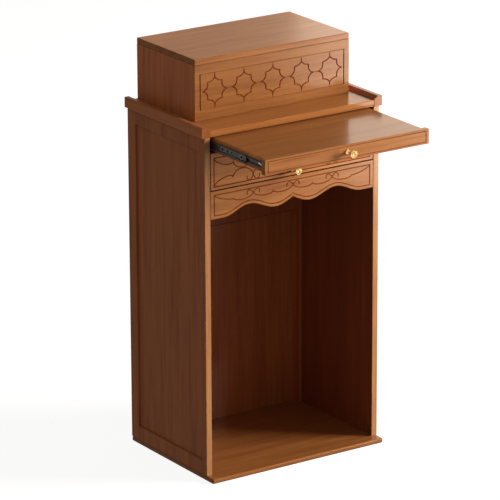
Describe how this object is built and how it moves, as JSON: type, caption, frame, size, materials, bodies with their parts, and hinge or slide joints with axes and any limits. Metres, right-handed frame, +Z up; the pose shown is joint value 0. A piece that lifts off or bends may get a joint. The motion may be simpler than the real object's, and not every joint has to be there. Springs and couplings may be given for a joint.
{
  "type": "household altar cabinet",
  "caption": "Open floor cabinet for a home altar, with a scalloped apron, a carved drawer, a pull-out offering tray and a raised box on its top board.",
  "frame": {"origin": "middle of the body's footprint on the floor: midway between the two sides, midway between the front and the back edges of the sides, on the underside of the base board", "axes": "+Z up, +X to the cabinet's right-hand end seen from the front, -Y out of its open front"},
  "size_m": [0.619, 0.7033, 1.224],
  "materials": {
    "lacquered_wood": "orange-brown wood under a satin lacquer",
    "slide_steel": "black coated sheet steel",
    "brass": "polished",
    "cap_zinc": "dull zinc"
  },
  "bodies": {
    "cabinet": {"base_board": "lacquered_wood", "side_frame_left": "lacquered_wood", "side_frame_right": "lacquered_wood", "side_panel_left": "lacquered_wood", "side_panel_right": "lacquered_wood", "back_panel_lower": "lacquered_wood", "back_panel_upper": "lacquered_wood", "back_batten_left": "lacquered_wood", "back_batten_right": "lacquered_wood", "dust_board": "lacquered_wood", "top_board": "lacquered_wood", "top_curb_left": "lacquered_wood", "top_curb_right": "lacquered_wood", "box_front": "lacquered_wood", "box_side_left": "lacquered_wood", "box_side_right": "lacquered_wood", "box_back": "lacquered_wood", "box_top": "lacquered_wood", "apron": "lacquered_wood", "tray_slide_outer_left": "slide_steel", "tray_slide_outer_right": "slide_steel", "drawer_slide_outer_left": "slide_steel", "drawer_slide_outer_right": "slide_steel", "screw_cap_left_1": "cap_zinc", "screw_cap_left_2": "cap_zinc", "screw_cap_right_1": "cap_zinc", "screw_cap_right_2": "cap_zinc"},
    "tray": {"tray_board": "lacquered_wood", "tray_rail_left": "lacquered_wood", "tray_rail_right": "lacquered_wood", "tray_fascia": "lacquered_wood", "tray_knob": "brass", "tray_slide_inner_left": "slide_steel", "tray_slide_inner_right": "slide_steel"},
    "tray_middle_members": {"tray_slide_middle_left": "slide_steel", "tray_slide_middle_right": "slide_steel"},
    "drawer": {"drawer_front": "lacquered_wood", "drawer_side_left": "lacquered_wood", "drawer_side_right": "lacquered_wood", "drawer_back": "lacquered_wood", "drawer_bottom": "lacquered_wood", "drawer_knob": "brass", "drawer_slide_inner_left": "slide_steel", "drawer_slide_inner_right": "slide_steel"},
    "drawer_middle_members": {"drawer_slide_middle_left": "slide_steel", "drawer_slide_middle_right": "slide_steel"}
  },
  "joints": [
    {"name": "tray_slide", "type": "slide", "parent": "cabinet", "child": "tray", "axis": [0, 1, 0], "range_m": [-0.03, 0.27]},
    {"name": "tray_middle_slide", "type": "slide", "parent": "cabinet", "child": "tray_middle_members", "axis": [0, 1, 0], "range_m": [-0.0215, 0.1905]},
    {"name": "drawer_slide", "type": "slide", "parent": "cabinet", "child": "drawer", "axis": [0, -1, 0], "range_m": [0, 0.3]},
    {"name": "drawer_middle_slide", "type": "slide", "parent": "cabinet", "child": "drawer_middle_members", "axis": [0, -1, 0], "range_m": [0, 0.1505]}
  ],
  "couplings": [
    {"joint": "tray_middle_slide", "follows": "tray_slide", "ratio": 0.704},
    {"joint": "drawer_middle_slide", "follows": "drawer_slide", "ratio": 0.5}
  ]
}
